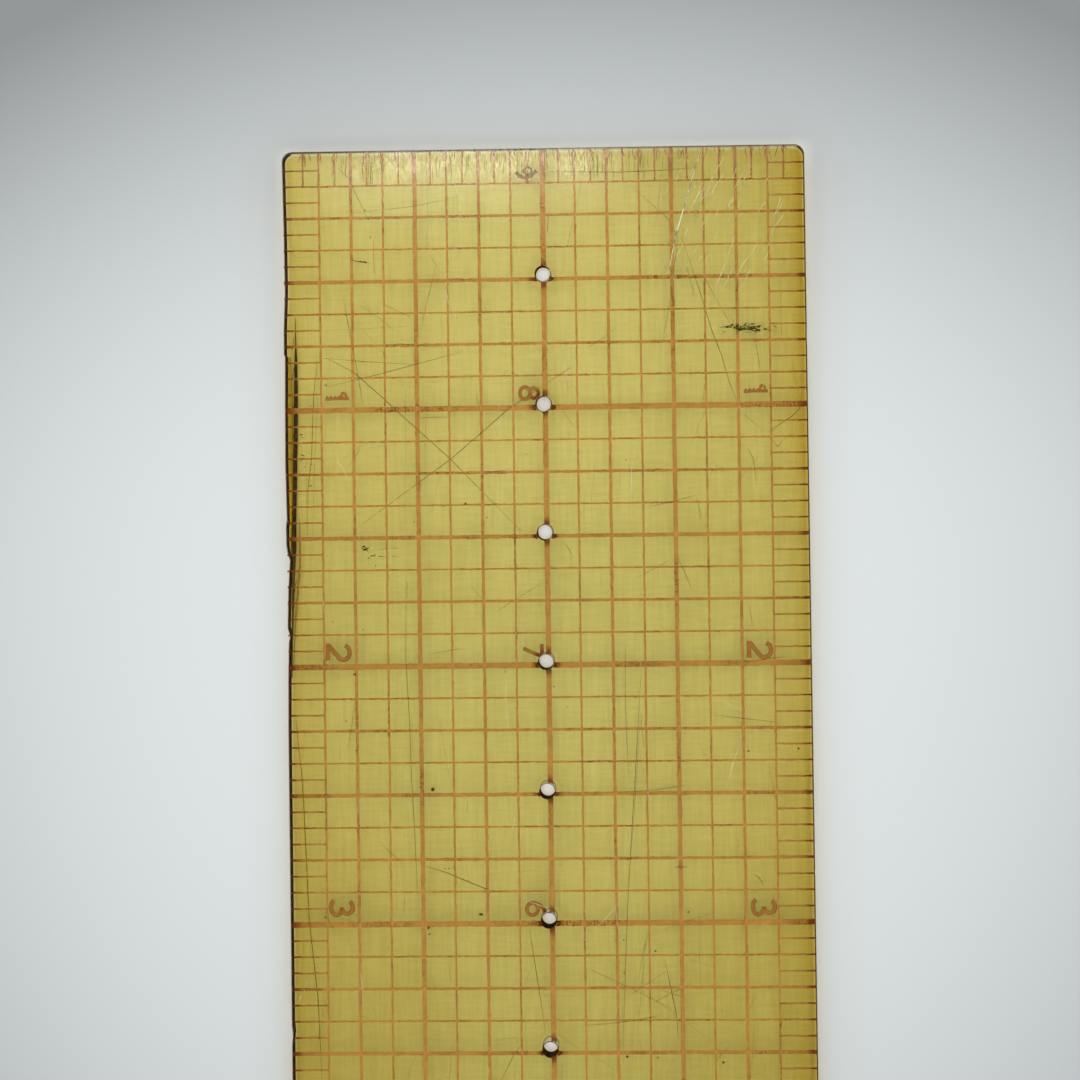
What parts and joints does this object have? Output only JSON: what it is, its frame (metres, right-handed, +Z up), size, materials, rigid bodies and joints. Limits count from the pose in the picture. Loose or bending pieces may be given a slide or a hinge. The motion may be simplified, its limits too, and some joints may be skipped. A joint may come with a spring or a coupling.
{
  "type": "grid ruler",
  "caption": "Long clear yellowed plastic graph ruler with a printed eighth inch grid, sixteenth ticks along the edges and a row of pin holes down the middle.",
  "frame": {"origin": "middle of the sheet's flat underside", "axes": "+X along the ruler from the zero end to the 18 inch end, +Y across it to the right edge as seen from above with the zero end away from the reader, +Z up out of the printed face"},
  "size_m": [0.4578, 0.0516, 0.0015],
  "materials": {
    "aged_plastic": "clear, yellowed, softly scratched",
    "aged_film": "thin clear film, yellowed",
    "crosswise_ink": "thin printed ink",
    "lengthwise_ink": "thin printed ink"
  },
  "bodies": {
    "root": {"base_sheet": "aged_plastic", "cover_film": "aged_film", "main_grid": "crosswise_ink", "zero_end_ticks": "crosswise_ink", "far_end_ticks": "crosswise_ink", "left_edge_scale": "lengthwise_ink", "right_edge_scale": "lengthwise_ink", "left_eighth_line": "lengthwise_ink", "right_eighth_line": "lengthwise_ink", "left_quarter_line": "lengthwise_ink", "right_quarter_line": "lengthwise_ink", "left_three_eighth_line": "lengthwise_ink", "right_three_eighth_line": "lengthwise_ink", "left_five_eighth_line": "lengthwise_ink", "right_five_eighth_line": "lengthwise_ink", "left_three_quarter_line": "lengthwise_ink", "right_three_quarter_line": "lengthwise_ink"}
  },
  "joints": []
}
